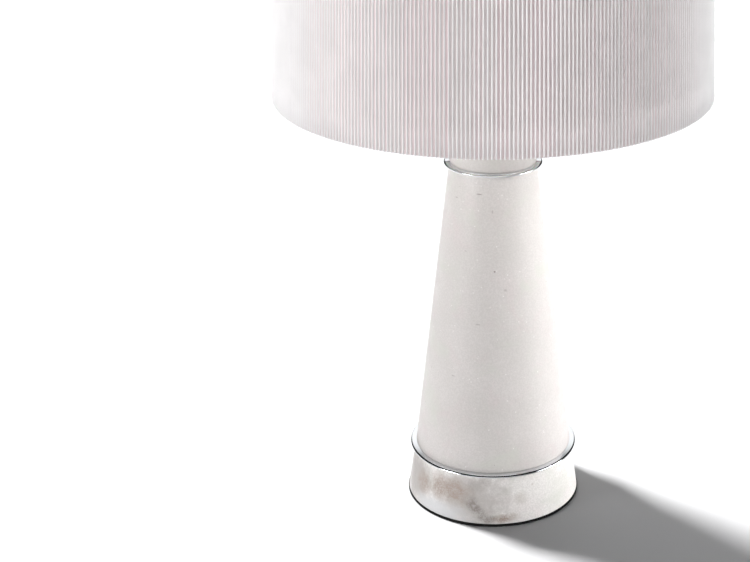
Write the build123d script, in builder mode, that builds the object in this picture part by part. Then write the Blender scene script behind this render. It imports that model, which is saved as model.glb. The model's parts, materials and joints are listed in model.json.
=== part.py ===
"""Column table lamp: a tapering marble column in three blocks with two polished discs between them,
clamped on a threaded tube, with a lampholder, a harp and a large pleated empire drum shade.
Millimetres, +Z up, origin at the bottom centre, front towards -Y, cord inlet at the back (+Y)."""
import math
import os

from build123d import *

os.makedirs("parts", exist_ok=True)

# ---- driving dimensions: stone column
foot_pad_overhang = 0.6
foot_pad_land = 2.0
foot_pad_thickness = 2.5
base_bottom_radius = 83.2
base_top_radius = 76.0
base_height = 48.3
disc_thickness = 2.8
lower_disc_overhang = 5.1
upper_disc_overhang = 5.3
cone_step = 0.7
cone_top_radius = 40.5
cone_height = 284.9
neck_step = 0.3
neck_narrowing = 5.4
neck_height = 45.0
stone_bore_radius = 8.0
stone_edge = 0.6

# ---- driving dimensions: underside of the base
cavity_radius = 52.0
cavity_height = 28.5
rebate_radius = 66.0
rebate_depth = 2.2
cover_thickness = 1.5
cover_play = 0.3
insert_radius = 3.0
insert_length = 9.0
cover_screw_radius = 1.5
cover_screw_length = 8.0
cover_screw_head_radius = 3.1
cover_screw_head_height = 1.7
cover_screw_count = 3
terminal_block_length = 20.0
terminal_block_width = 18.0
terminal_block_height = 12.5
terminal_block_bore_radius = 1.6
block_screw_radius = 1.5

# ---- driving dimensions: cord inlet
inlet_height = 11.0
grommet_bore_radius = 3.75
grommet_wall = 2.2
grommet_flange_radius = 9.0
grommet_flange_thickness = 3.0
spotface_inset = 2.2

# ---- driving dimensions: tube and its fixings
tube_radius = 5.0
tube_bore_radius = 3.5
tube_play = 0.1
tube_tail = 3.0
fibre_washer_radius = 17.0
fibre_washer_thickness = 2.0
lower_washer_radius = 16.0
lower_washer_thickness = 2.5
nut_across_flats = 14.0
lower_nut_height = 5.0
upper_nut_height = 3.5
cap_radius = 24.0
cap_edge = 1.6
cap_height = 5.0
wire_radius = 1.0
wire_spacing = 2.8

# ---- driving dimensions: lampholder
socket_hub_radius = 7.5
socket_hub_height = 10.0
socket_cap_radius = 17.6
socket_cap_height = 24.0
socket_cap_wall = 0.8
set_screw_radius = 1.5
set_screw_height = 3.2
shell_height = 44.0
shell_wall = 0.5
shell_overlap = 6.0
sleeve_paper = 0.6
socket_body_height = 20.0
socket_body_lift = 16.0
terminal_flat = 11.0
terminal_flat_height = 11.0
terminal_screw_head_radius = 3.0
terminal_screw_head = 1.8
terminal_screw_radius = 1.5
screw_shell_height = 22.0
screw_shell_wall = 0.4
stem_radius = 2.5
stem_depth = 9.0
knob_radius = 6.5
knob_length = 11.0
knob_gap = 3.0
knob_flutes = 14

# ---- driving dimensions: bulb
thread_radius = 12.7
thread_depth = 0.4
thread_pitch = 3.62
thread_gap = 0.3
bulb_cap_wall = 0.35
bulb_cap_height = 22.0
bulb_contact_radius = 4.5
bulb_contact_height = 1.2
bulb_insulator_height = 3.4
globe_radius = 30.0
globe_lift = 56.0
globe_wall = 0.9
contact_gap = 0.2

# ---- driving dimensions: harp
harp_foot_offset = 30.0
harp_wire_radius = 1.6
harp_half_width = 56.0
harp_leg_height = 40.0
harp_shoulder_height = 85.0
harp_crown_height = 80.9
harp_top_offset = 28.0
harp_foot_bend = 40.0
harp_shoulder_bend = 60.0
harp_crown_bend = 100.0
harp_top_bend = 22.0
saddle_thickness = 1.6
saddle_width = 10.0
tongue_thickness = 1.4
tongue_width = 3.2
tongue_height = 13.0
ferrule_bore_radius = 3.0
ferrule_wall = 0.8
ferrule_length = 12.0
stud_block_width = 8.0
stud_block_length = 14.0
stud_block_height = 6.0
stud_shoulder_radius = 9.0
stud_shoulder_height = 1.5
stud_radius = 3.1
stud_length = 15.0

# ---- driving dimensions: shade
shade_rim_gap = 21.5
shade_height = 280.0
shade_bottom_radius = 200.0
shade_top_radius = 186.2
pleat_count = 356
pleat_depth = 2.6
pleat_backing = 0.8
liner_play = 0.15
liner_thickness = 0.8
liner_inset = 1.0
ring_wire_radius = 1.8
hub_drop = 16.0
hub_radius = 13.0
hub_thickness = 1.6
arm_wire_radius = 1.6
arm_count = 3
arm_rise_length = 24.0
finial_base_radius = 8.0
finial_neck_radius = 5.0
finial_ball_radius = 9.0
finial_height = 27.0
finial_foot_height = 2.2

# ---- general clearances
slip = 0.05
rest_gap = 0.2

# ---- radii that follow from their neighbours
foot_pad_radius = base_bottom_radius + foot_pad_overhang
foot_pad_hole_radius = rebate_radius + foot_pad_land
lower_disc_radius = base_top_radius + lower_disc_overhang
cone_bottom_radius = base_top_radius - cone_step
upper_disc_radius = cone_top_radius + upper_disc_overhang
neck_bottom_radius = cone_top_radius - neck_step
neck_top_radius = neck_bottom_radius - neck_narrowing

# ---- levels that follow from the stack
base_z = foot_pad_thickness
lower_disc_z = base_z + base_height
cone_z = lower_disc_z + disc_thickness
upper_disc_z = cone_z + cone_height
neck_z = upper_disc_z + disc_thickness
cap_z = neck_z + neck_height
shade_rim_z = cap_z + shade_rim_gap
shade_top_z = shade_rim_z + shade_height
upper_nut_z = cap_z + cap_height
saddle_z = upper_nut_z + upper_nut_height
socket_z = saddle_z + saddle_thickness
cavity_z = base_z + cavity_height
lower_washer_z = cavity_z - fibre_washer_thickness - lower_washer_thickness
lower_nut_z = lower_washer_z - lower_nut_height
tube_bottom_z = lower_nut_z - tube_tail
tube_top_z = socket_z + socket_hub_height - 1.0
cover_seat_z = base_z + rebate_depth
cover_z = cover_seat_z - cover_thickness
tube_hole_radius = tube_radius + tube_play


def rim(part, z):
    """Circular edges of a part at one height."""
    return part.edges().filter_by(GeomType.CIRCLE).filter_by_position(Axis.Z, z - 0.01, z + 0.01)


def stone_block(bottom_radius, top_radius, height, z, bore):
    """A turned block of the column: a short cone with eased edges and a bore for the tube."""
    with BuildPart() as block:
        with BuildSketch(Plane.XZ):
            with BuildLine():
                Polyline((bore, z), (bottom_radius, z), (top_radius, z + height), (bore, z + height),
                         close=True)
            make_face()
        revolve(axis=Axis.Z)
        outer = rim(block.part, z).sort_by(SortBy.RADIUS)[-1]
        upper = rim(block.part, z + height).sort_by(SortBy.RADIUS)[-1]
        chamfer([outer, upper], stone_edge)
    return block.part


def polished_disc(radius, z):
    """A metal disc between two stone blocks, its edge fully rounded."""
    with BuildPart() as disc:
        with BuildSketch(Plane.XY.offset(z)):
            Circle(radius)
            Circle(tube_hole_radius, mode=Mode.SUBTRACT)
        extrude(amount=disc_thickness)
        edges = [rim(disc.part, level).sort_by(SortBy.RADIUS)[-1] for level in (z, z + disc_thickness)]
        fillet(edges, disc_thickness * 0.49)
    return disc.part


def washer(radius, bore, thickness, z):
    with BuildPart() as ring:
        with BuildSketch(Plane.XY.offset(z)):
            Circle(radius)
            Circle(bore, mode=Mode.SUBTRACT)
        extrude(amount=thickness)
    return ring.part


def hex_nut(across_flats, height, z):
    """A hexagon nut on the tube, both faces chamfered by a cone."""
    corner = across_flats / math.sqrt(3)
    with BuildPart() as nut:
        with BuildSketch(Plane.XY.offset(z)):
            RegularPolygon(corner, 6)
            Circle(tube_hole_radius, mode=Mode.SUBTRACT)
        extrude(amount=height)
        with BuildSketch(Plane.XZ):
            with BuildLine():
                Polyline((tube_radius, z), (across_flats / 2, z), (corner, z + height * 0.15),
                         (corner, z + height * 0.85), (across_flats / 2, z + height),
                         (tube_radius, z + height), close=True)
            make_face()
        revolve(axis=Axis.Z, mode=Mode.INTERSECT)
    return nut.part


def save(part, name):
    part.label = name
    export_step(part, f"parts/{name}.step")


# ================= stone column =================
with BuildPart() as foot_pad:
    add(washer(foot_pad_radius, foot_pad_hole_radius, foot_pad_thickness, 0))
    chamfer(rim(foot_pad.part, 0).sort_by(SortBy.RADIUS)[-1], foot_pad_thickness * 0.2)
save(foot_pad.part, "foot_pad")

inlet_z = base_z + inlet_height
inlet_wall = base_bottom_radius - (base_bottom_radius - base_top_radius) * inlet_height / base_height
spotface_y = inlet_wall - spotface_inset
grommet_radius = grommet_bore_radius + grommet_wall
insert_circle = (cavity_radius + rebate_radius) / 2
insert_places = PolarLocations(insert_circle, cover_screw_count, start_angle=30)

with BuildPart() as base_block:
    add(stone_block(base_bottom_radius, base_top_radius, base_height, base_z, stone_bore_radius))
    with BuildSketch(Plane.XY.offset(base_z)):
        Circle(cavity_radius)
    extrude(amount=cavity_height, mode=Mode.SUBTRACT)
    with BuildSketch(Plane.XY.offset(base_z)):
        Circle(rebate_radius)
    extrude(amount=rebate_depth, mode=Mode.SUBTRACT)
    # radial hole for the cord, with a flat seat for the bush's flange
    with BuildSketch(Plane(origin=(0, spotface_y, inlet_z), z_dir=(0, 1, 0))):
        Circle(grommet_flange_radius + cover_play)
    extrude(amount=base_bottom_radius - spotface_y + 1, mode=Mode.SUBTRACT)
    with BuildSketch(Plane(origin=(0, cavity_radius * 0.9, inlet_z), z_dir=(0, 1, 0))):
        Circle(grommet_radius + slip)
    extrude(amount=spotface_y - cavity_radius * 0.9, mode=Mode.SUBTRACT)
    with BuildSketch(Plane.XY.offset(cover_seat_z)):
        with insert_places:
            Circle(insert_radius + slip)
    extrude(amount=insert_length, mode=Mode.SUBTRACT)
save(base_block.part, "base_block")

save(polished_disc(lower_disc_radius, lower_disc_z), "lower_ring")
save(stone_block(cone_bottom_radius, cone_top_radius, cone_height, cone_z, stone_bore_radius), "column_cone")
save(polished_disc(upper_disc_radius, upper_disc_z), "upper_ring")
save(stone_block(neck_bottom_radius, neck_top_radius, neck_height, neck_z, stone_bore_radius), "neck_block")

# ================= underside: cover, inserts, terminal block, cord inlet =================
block_room = cavity_radius - lower_washer_radius - terminal_block_length
block_x = lower_washer_radius + block_room / 2
block_middle_x = block_x + terminal_block_length / 2

with BuildPart() as cover_plate:
    with BuildSketch(Plane.XY.offset(cover_z)):
        Circle(rebate_radius - cover_play)
        with insert_places:
            Circle(cover_screw_radius + tube_play, mode=Mode.SUBTRACT)
        with Locations((block_middle_x, 0)):
            Circle(block_screw_radius + tube_play, mode=Mode.SUBTRACT)
    extrude(amount=cover_thickness)
save(cover_plate.part, "cover_plate")

with BuildPart() as base_inserts:
    with BuildSketch(Plane.XY.offset(cover_seat_z)):
        with insert_places:
            Circle(insert_radius)
            Circle(cover_screw_radius + slip, mode=Mode.SUBTRACT)
    extrude(amount=insert_length)
save(base_inserts.part, "base_inserts")


def pan_screw(radius, length, head_radius, head_height, places, z):
    """Cross-recess pan screws pointing up, heads below the level z."""
    with BuildPart() as screws:
        with BuildSketch(Plane.XY.offset(z)):
            with places:
                Circle(radius)
        extrude(amount=length)
        with BuildSketch(Plane.XY.offset(z)):
            with places:
                Circle(head_radius)
        extrude(amount=-head_height)
        fillet(rim(screws.part, z - head_height), head_height * 0.4)
        with BuildSketch(Plane.XY.offset(z - head_height)):
            with places:
                Rectangle(head_radius * 1.1, head_radius * 0.25)
                Rectangle(head_radius * 0.25, head_radius * 1.1)
        extrude(amount=head_height * 0.6, mode=Mode.SUBTRACT)
    return screws.part


save(pan_screw(cover_screw_radius, cover_screw_length, cover_screw_head_radius, cover_screw_head_height,
               insert_places, cover_z), "cover_screws")

with BuildPart() as terminal_block:
    with BuildSketch(Plane.XY.offset(cover_seat_z)):
        with Locations((block_middle_x, 0)):
            RectangleRounded(terminal_block_length, terminal_block_width, 1.5)
    extrude(amount=terminal_block_height)
    pole_z = cover_seat_z + terminal_block_height / 2
    # one wire bore along each pole, one clamp screw well at each end, and the fixing hole between them
    with BuildSketch(Plane(origin=(block_x, 0, pole_z), z_dir=(1, 0, 0))):
        with GridLocations(terminal_block_width / 2, 1, 2, 1):
            Circle(terminal_block_bore_radius)
    extrude(amount=terminal_block_length, mode=Mode.SUBTRACT)
    with BuildSketch(Plane.XY.offset(pole_z)):
        with Locations((block_middle_x, 0)):
            with GridLocations(terminal_block_length / 2, terminal_block_width / 2, 2, 2):
                Circle(terminal_block_bore_radius)
    extrude(amount=terminal_block_height / 2, mode=Mode.SUBTRACT)
    with BuildSketch(Plane.XY.offset(cover_seat_z)):
        with Locations((block_middle_x, 0)):
            Circle(block_screw_radius + slip)
    extrude(amount=terminal_block_height * 0.7, mode=Mode.SUBTRACT)
save(terminal_block.part, "terminal_block")

save(pan_screw(block_screw_radius, cover_thickness + terminal_block_height * 0.6, cover_screw_head_radius,
               cover_screw_head_height, Locations((block_middle_x, 0)), cover_z), "terminal_block_screw")

with BuildPart() as cord_grommet:
    with BuildSketch(Plane(origin=(0, cavity_radius, inlet_z), z_dir=(0, 1, 0))):
        Circle(grommet_radius)
    extrude(amount=spotface_y - cavity_radius)
    with BuildSketch(Plane(origin=(0, spotface_y, inlet_z), z_dir=(0, 1, 0))):
        Circle(grommet_flange_radius)
    extrude(amount=grommet_flange_thickness)
    face_edges = cord_grommet.part.edges().filter_by(GeomType.CIRCLE).group_by(Axis.Y)[-1]
    fillet(face_edges, grommet_flange_thickness * 0.4)
    with BuildSketch(Plane(origin=(0, cavity_radius, inlet_z), z_dir=(0, 1, 0))):
        Circle(grommet_bore_radius)
    extrude(amount=spotface_y - cavity_radius + grommet_flange_thickness, mode=Mode.SUBTRACT)
save(cord_grommet.part, "cord_grommet")

# ================= tube and fixings =================
save(washer(fibre_washer_radius, tube_hole_radius, fibre_washer_thickness, cavity_z - fibre_washer_thickness),
     "fibre_washer")
save(washer(lower_washer_radius, tube_hole_radius, lower_washer_thickness, lower_washer_z), "lower_washer")
save(hex_nut(nut_across_flats, lower_nut_height, lower_nut_z), "lower_nut")
save(washer(tube_radius, tube_bore_radius, tube_top_z - tube_bottom_z, tube_bottom_z), "threaded_tube")

with BuildPart() as top_cap:
    with BuildSketch(Plane.XZ):
        with BuildLine():
            edge_line = Line((cap_radius, cap_z), (cap_radius, cap_z + cap_edge))
            dome = ThreePointArc(edge_line @ 1, (cap_radius * 0.68, cap_z + cap_height * 0.82),
                                 (cap_radius * 0.4, cap_z + cap_height))
            Polyline(dome @ 1, (tube_hole_radius, cap_z + cap_height), (tube_hole_radius, cap_z),
                     edge_line @ 0)
        make_face()
    revolve(axis=Axis.Z)
save(top_cap.part, "top_cap")
save(hex_nut(nut_across_flats, upper_nut_height, upper_nut_z), "upper_nut")


def wire_path(side):
    """Route of one wire: out of the terminal block, up the tube and out to its terminal screw."""
    y = side * wire_spacing / 2
    run_z = tube_top_z + (socket_z + socket_body_lift - tube_top_z) / 2
    terminal_x = side * (terminal_flat + wire_radius + 1)
    start = (block_x - rest_gap, side * terminal_block_width / 4, pole_z)
    return FilletPolyline(start, (0, y, pole_z), (0, y, run_z), (terminal_x, y, run_z),
                          (terminal_x, y, run_z + 4.6), radius=2.0)


for side, wire_name in ((1, "line_wire"), (-1, "neutral_wire")):
    with BuildPart() as wire:
        with BuildLine():
            route = wire_path(side)
        with BuildSketch(Plane(origin=route @ 0, z_dir=route % 0)):
            Circle(wire_radius)
        sweep()
    save(wire.part, wire_name)

# ================= lampholder =================
socket_cap_shoulder = socket_cap_height * 0.58
with BuildPart() as socket_cap:
    inner = socket_cap_radius - socket_cap_wall
    with BuildSketch(Plane.XZ):
        with BuildLine():
            Polyline((tube_hole_radius, socket_z), (socket_hub_radius, socket_z),
                     (socket_hub_radius, socket_z + socket_hub_height * 0.6),
                     (socket_cap_radius * 0.8, socket_z + socket_hub_height * 0.85),
                     (socket_cap_radius, socket_z + socket_cap_shoulder),
                     (socket_cap_radius, socket_z + socket_cap_height), (inner, socket_z + socket_cap_height),
                     (inner, socket_z + socket_cap_shoulder + socket_cap_wall * 0.4),
                     (inner * 0.8, socket_z + socket_hub_height * 0.85 + socket_cap_wall),
                     (socket_hub_radius, socket_z + socket_hub_height * 0.6 + socket_cap_wall * 1.2),
                     (socket_hub_radius, socket_z + socket_hub_height),
                     (tube_hole_radius, socket_z + socket_hub_height), close=True)
        make_face()
    revolve(axis=Axis.Z)
    with BuildSketch(Plane(origin=(0, 0, socket_z + set_screw_height), z_dir=(0, 1, 0))):
        Circle(set_screw_radius + slip)
    extrude(amount=socket_hub_radius + 1, mode=Mode.SUBTRACT)
save(socket_cap.part, "socket_cap")

with BuildPart() as socket_set_screw:
    with BuildSketch(Plane(origin=(0, tube_hole_radius, socket_z + set_screw_height), z_dir=(0, 1, 0))):
        Circle(set_screw_radius)
    extrude(amount=socket_hub_radius - tube_hole_radius + 1)
    with BuildSketch(Plane(origin=(0, socket_hub_radius + 1, socket_z + set_screw_height), z_dir=(0, 1, 0))):
        Rectangle(set_screw_radius * 2.2, set_screw_radius * 0.35)
    extrude(amount=-0.7, mode=Mode.SUBTRACT)
save(socket_set_screw.part, "socket_set_screw")

shell_z = socket_z + socket_cap_height - shell_overlap
shell_radius = socket_cap_radius - socket_cap_wall - slip
paper_radius = shell_radius - shell_wall - slip
paper_inner = paper_radius - sleeve_paper
body_z = socket_z + socket_body_lift
body_top_z = body_z + socket_body_height
body_radius = paper_inner - 0.3
stem_z = body_z + socket_body_height * 0.68


def stem_plane(distance):
    """Plane across the switch stem, at a distance in front of the lamp's axis."""
    return Plane(origin=(0, -distance, stem_z), z_dir=(0, -1, 0))


with BuildPart() as socket_shell:
    with BuildSketch(Plane.XY.offset(shell_z)):
        Circle(shell_radius)
        Circle(shell_radius - shell_wall, mode=Mode.SUBTRACT)
    extrude(amount=shell_height)
    # rolled bead at the mouth
    with BuildSketch(Plane.XZ):
        with Locations((shell_radius, shell_z + shell_height - shell_wall)):
            Circle(shell_wall)
    revolve(axis=Axis.Z)
    with BuildSketch(stem_plane(0)):
        Circle(stem_radius + 0.8)
    extrude(amount=socket_cap_radius, mode=Mode.SUBTRACT)
save(socket_shell.part, "socket_shell")

with BuildPart() as shell_liner:
    with BuildSketch(Plane.XY.offset(shell_z + 1)):
        Circle(paper_radius)
        Circle(paper_inner, mode=Mode.SUBTRACT)
    extrude(amount=shell_height - 3)
    with BuildSketch(stem_plane(0)):
        Circle(stem_radius + 0.8)
    extrude(amount=socket_cap_radius, mode=Mode.SUBTRACT)
save(shell_liner.part, "shell_liner")

with BuildPart() as socket_body:
    with BuildSketch(Plane.XY.offset(body_z)):
        Circle(body_radius)
    extrude(amount=socket_body_height)
    # flats that leave room for the wires and the heads of the terminal screws
    with BuildSketch(Plane.XY.offset(body_z)):
        with Locations((terminal_flat + body_radius, 0), (-terminal_flat - body_radius, 0)):
            Rectangle(2 * body_radius, 2 * body_radius)
    extrude(amount=terminal_flat_height, mode=Mode.SUBTRACT)
    with BuildSketch(Plane(origin=(-body_radius, 0, body_z + terminal_flat_height / 2), z_dir=(1, 0, 0))):
        Circle(terminal_screw_radius + slip)
    extrude(amount=2 * body_radius, mode=Mode.SUBTRACT)
    with BuildSketch(stem_plane(body_radius - stem_depth - rest_gap)):
        Circle(stem_radius + tube_play)
    extrude(amount=body_radius, mode=Mode.SUBTRACT)
save(socket_body.part, "socket_body")

with BuildPart() as terminal_screws:
    for side in (1, -1):
        seat = Plane(origin=(side * terminal_flat, 0, body_z + terminal_flat_height / 2), z_dir=(side, 0, 0))
        with BuildSketch(seat):
            Circle(terminal_screw_radius)
        extrude(amount=-terminal_flat * 0.6)
        with BuildSketch(seat):
            Circle(terminal_screw_head_radius)
        extrude(amount=terminal_screw_head)
        with BuildSketch(seat.offset(terminal_screw_head)):
            Rectangle(2 * terminal_screw_head_radius, terminal_screw_radius * 0.5)
        extrude(amount=-terminal_screw_head * 0.5, mode=Mode.SUBTRACT)
save(terminal_screws.part, "terminal_screws")


def thread_line(low, high, radius, depth):
    """Outline of a rolled lamp thread: one crest and one root in each pitch, drawn as a zigzag."""
    steps = int((high - low) / (thread_pitch / 2))
    return [(radius + depth * (-1) ** k, low + k * thread_pitch / 2) for k in range(steps + 1)]


contact_z = body_top_z + 1.2
bulb_z = contact_z + contact_gap
bulb_cap_z = bulb_z + bulb_contact_height + bulb_insulator_height
shell_turns = int((bulb_cap_z - body_top_z - 1) / thread_pitch)
shell_start = bulb_cap_z - shell_turns * thread_pitch

with BuildPart() as screw_shell:
    shell_top_z = body_top_z + screw_shell_height
    inner_line = thread_line(shell_start, shell_top_z, thread_radius + thread_gap, thread_depth)
    outer_line = [(r + screw_shell_wall, z) for r, z in inner_line]
    lowest_radius = inner_line[0][0]
    with BuildSketch(Plane.XZ):
        with BuildLine():
            Polyline((lowest_radius, body_top_z), *inner_line, *reversed(outer_line),
                     (lowest_radius + screw_shell_wall, body_top_z), close=True)
        make_face()
    revolve(axis=Axis.Z)
save(screw_shell.part, "screw_shell")

with BuildPart() as centre_contact:
    with BuildSketch(Plane.XY.offset(body_top_z)):
        Circle(bulb_contact_radius * 0.8)
    extrude(amount=contact_z - body_top_z)
    fillet(rim(centre_contact.part, contact_z), 0.4)
save(centre_contact.part, "centre_contact")

knob_y = shell_radius + knob_gap
with BuildPart() as switch_knob:
    with BuildSketch(stem_plane(body_radius - stem_depth)):
        Circle(stem_radius)
    extrude(amount=knob_y - body_radius + stem_depth)
    grip = stem_plane(knob_y)
    with BuildSketch(grip):
        Circle(knob_radius)
        with PolarLocations(knob_radius, knob_flutes):
            Circle(knob_radius * 0.1, mode=Mode.SUBTRACT)
    extrude(amount=knob_length)
    end = grip.offset(knob_length)
    with BuildSketch(end):
        Circle(knob_radius * 0.78)
    extrude(amount=1.0, taper=30)
    # one line across the end shows which way the switch points
    with BuildSketch(end.offset(1.0)):
        Rectangle(0.8, knob_radius * 1.1)
    extrude(amount=-0.5, mode=Mode.SUBTRACT)
save(switch_knob.part, "switch_knob")

# ================= bulb =================
with BuildPart() as bulb_contact:
    with BuildSketch(Plane.XY.offset(bulb_z)):
        Circle(bulb_contact_radius)
    extrude(amount=bulb_contact_height)
    fillet(rim(bulb_contact.part, bulb_z), bulb_contact_height * 0.6)
save(bulb_contact.part, "bulb_contact")

with BuildPart() as bulb_insulator:
    with BuildSketch(Plane.XZ):
        low = bulb_z + bulb_contact_height
        with BuildLine():
            Polyline((0, low), (bulb_contact_radius * 1.1, low), (thread_radius - 2.2, bulb_cap_z),
                     (0, bulb_cap_z), close=True)
        make_face()
    revolve(axis=Axis.Z)
save(bulb_insulator.part, "bulb_insulator")

cap_thread = thread_line(bulb_cap_z, bulb_cap_z + bulb_cap_height - thread_pitch, thread_radius, thread_depth)
bulb_cap_top = bulb_cap_z + bulb_cap_height
with BuildPart() as bulb_cap:
    bore = [(r - bulb_cap_wall, z + bulb_cap_wall) for r, z in cap_thread]
    with BuildSketch(Plane.XZ):
        with BuildLine():
            Polyline((0, bulb_cap_z), *cap_thread, (thread_radius + thread_depth, bulb_cap_top),
                     (thread_radius + thread_depth - bulb_cap_wall, bulb_cap_top),
                     *reversed(bore), (0, bulb_cap_z + bulb_cap_wall), close=True)
        make_face()
    revolve(axis=Axis.Z)
save(bulb_cap.part, "bulb_cap")

neck_radius = thread_radius + thread_depth - bulb_cap_wall - 0.2
globe_z = bulb_cap_top + globe_lift


def globe_solid(inset):
    """The bulb's glass, as a turned solid: a sphere that runs down into a narrow neck."""
    radius = globe_radius - inset
    leave = math.radians(-42)
    leave_point = (radius * math.cos(leave), globe_z + radius * math.sin(leave))
    neck_z_low = bulb_cap_top - 3 + 0.01 * inset
    with BuildPart() as glass:
        with BuildSketch(Plane.XZ):
            with BuildLine():
                Line((0, neck_z_low), (neck_radius - inset, neck_z_low))
                straight = Line((neck_radius - inset, neck_z_low), (neck_radius - inset, bulb_cap_top + 4))
                Spline(straight @ 1, leave_point, tangents=((0, 1), (-math.sin(leave), math.cos(leave))))
                ThreePointArc(leave_point, (radius * math.cos(0.4), globe_z + radius * math.sin(0.4)),
                              (0, globe_z + radius))
                Line((0, globe_z + radius), (0, neck_z_low))
            make_face()
        revolve(axis=Axis.Z)
    return glass.part


with BuildPart() as bulb_globe:
    add(globe_solid(0))
    add(globe_solid(globe_wall), mode=Mode.SUBTRACT)
save(bulb_globe.part, "bulb_globe")

# ================= harp =================
saddle_half = harp_foot_offset + ferrule_bore_radius + ferrule_wall + 1
tongue_x = harp_foot_offset - ferrule_bore_radius + 0.7
with BuildPart() as harp_saddle:
    with BuildSketch(Plane.XY.offset(saddle_z)):
        SlotOverall(2 * saddle_half, saddle_width)
        Circle(tube_hole_radius + 3)
        Circle(tube_hole_radius, mode=Mode.SUBTRACT)
    extrude(amount=saddle_thickness)
    with BuildSketch(Plane.XY.offset(socket_z)):
        for side in (1, -1):
            with Locations((side * (tongue_x + tongue_thickness / 2), 0)):
                Rectangle(tongue_thickness, tongue_width)
    extrude(amount=tongue_height)
save(harp_saddle.part, "harp_saddle")

hub_z = shade_top_z - hub_drop
stud_seat_z = hub_z
harp_top_z = stud_seat_z - stud_shoulder_height - stud_block_height / 2
leg_x = tongue_x + tongue_thickness + tube_play + harp_wire_radius
bends = [harp_foot_bend, harp_shoulder_bend, harp_crown_bend, harp_top_bend]
with BuildPart() as harp:
    with BuildLine():
        bow = FilletPolyline(
            (-leg_x, 0, socket_z), (-leg_x, 0, socket_z + harp_leg_height),
            (-harp_half_width, 0, socket_z + harp_shoulder_height),
            (-harp_half_width, 0, harp_top_z - harp_crown_height),
            (-harp_top_offset, 0, harp_top_z), (harp_top_offset, 0, harp_top_z),
            (harp_half_width, 0, harp_top_z - harp_crown_height),
            (harp_half_width, 0, socket_z + harp_shoulder_height),
            (leg_x, 0, socket_z + harp_leg_height), (leg_x, 0, socket_z),
            radius=bends + bends[::-1])
    with BuildSketch(Plane(origin=bow @ 0, z_dir=bow % 0)):
        Circle(harp_wire_radius)
    sweep()
save(harp.part, "harp")

for side, name in ((-1, "left_ferrule"), (1, "right_ferrule")):
    with BuildPart() as ferrule:
        with BuildSketch(Plane.XY.offset(socket_z + rest_gap)):
            with Locations((side * harp_foot_offset, 0)):
                Circle(ferrule_bore_radius + ferrule_wall)
                Circle(ferrule_bore_radius, mode=Mode.SUBTRACT)
        extrude(amount=ferrule_length)
        outer = ferrule.part.edges().filter_by(GeomType.CIRCLE).sort_by(SortBy.RADIUS)[-2:]
        chamfer(outer, ferrule_wall * 0.4)
    save(ferrule.part, name)

with BuildPart() as harp_stud:
    with BuildSketch(Plane.XY.offset(harp_top_z - stud_block_height / 2)):
        RectangleRounded(stud_block_length, stud_block_width, 1.5)
    extrude(amount=stud_block_height)
    with BuildSketch(Plane.XY.offset(stud_seat_z - stud_shoulder_height)):
        Circle(stud_shoulder_radius)
    extrude(amount=stud_shoulder_height)
    with BuildSketch(Plane.XY.offset(stud_seat_z)):
        Circle(stud_radius)
    extrude(amount=stud_length)
    chamfer(rim(harp_stud.part, stud_seat_z + stud_length), 0.5)
    with BuildSketch(Plane(origin=(-stud_block_length / 2, 0, harp_top_z), z_dir=(1, 0, 0))):
        Circle(harp_wire_radius + slip)
    extrude(amount=stud_block_length, mode=Mode.SUBTRACT)
save(harp_stud.part, "harp_stud")

# ================= shade =================
shade_slope = (shade_bottom_radius - shade_top_radius) / shade_height
cover_depth = pleat_depth + pleat_backing


def shade_radius(z, inward=0.0):
    """Radius of the shade's outside at one height, less a distance inward."""
    return shade_bottom_radius - (z - shade_rim_z) * shade_slope - inward


def pleat_outline(z):
    """One flat-topped ridge and one wider recess for each pleat, all round the shade."""
    crest, root = shade_radius(z), shade_radius(z, pleat_depth)
    profile = ((0.0, root), (0.54, root), (0.64, crest), (0.90, crest))
    turn = 2 * math.pi / pleat_count
    return [(r * math.cos(turn * (k + share)), r * math.sin(turn * (k + share)))
            for k in range(pleat_count) for share, r in profile]


def conical_wall(low, high, outer_inward, thickness):
    """A thin wall that follows the shade's slope."""
    with BuildPart() as wall:
        with BuildSketch(Plane.XZ):
            with BuildLine():
                Polyline((shade_radius(low, outer_inward), low), (shade_radius(high, outer_inward), high),
                         (shade_radius(high, outer_inward + thickness), high),
                         (shade_radius(low, outer_inward + thickness), low), close=True)
            make_face()
        revolve(axis=Axis.Z)
    return wall.part


with BuildPart() as pleated_cover:
    for level in (shade_rim_z, shade_top_z):
        with BuildSketch(Plane.XY.offset(level)):
            with BuildLine():
                Polyline(*pleat_outline(level), close=True)
            make_face()
    loft(ruled=True)
    # the back is flat behind each pleat
    for level in (shade_rim_z, shade_top_z):
        with BuildSketch(Plane.XY.offset(level)):
            RegularPolygon(shade_radius(level, cover_depth), pleat_count)
    loft(ruled=True, mode=Mode.SUBTRACT)
save(pleated_cover.part, "pleated_cover")

liner_low = shade_rim_z + liner_inset
liner_high = shade_top_z - liner_inset
save(conical_wall(liner_low, liner_high, cover_depth + liner_play, liner_thickness), "shade_liner")

ring_inward = cover_depth + liner_play + liner_thickness + liner_play + ring_wire_radius
bottom_ring_z = liner_low + ring_wire_radius
top_ring_z = liner_high - ring_wire_radius
with BuildPart() as shade_bottom_ring:
    with BuildSketch(Plane.XZ):
        with Locations((shade_radius(bottom_ring_z - ring_wire_radius, ring_inward), bottom_ring_z)):
            Circle(ring_wire_radius)
    revolve(axis=Axis.Z)
save(shade_bottom_ring.part, "shade_bottom_ring")

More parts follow.
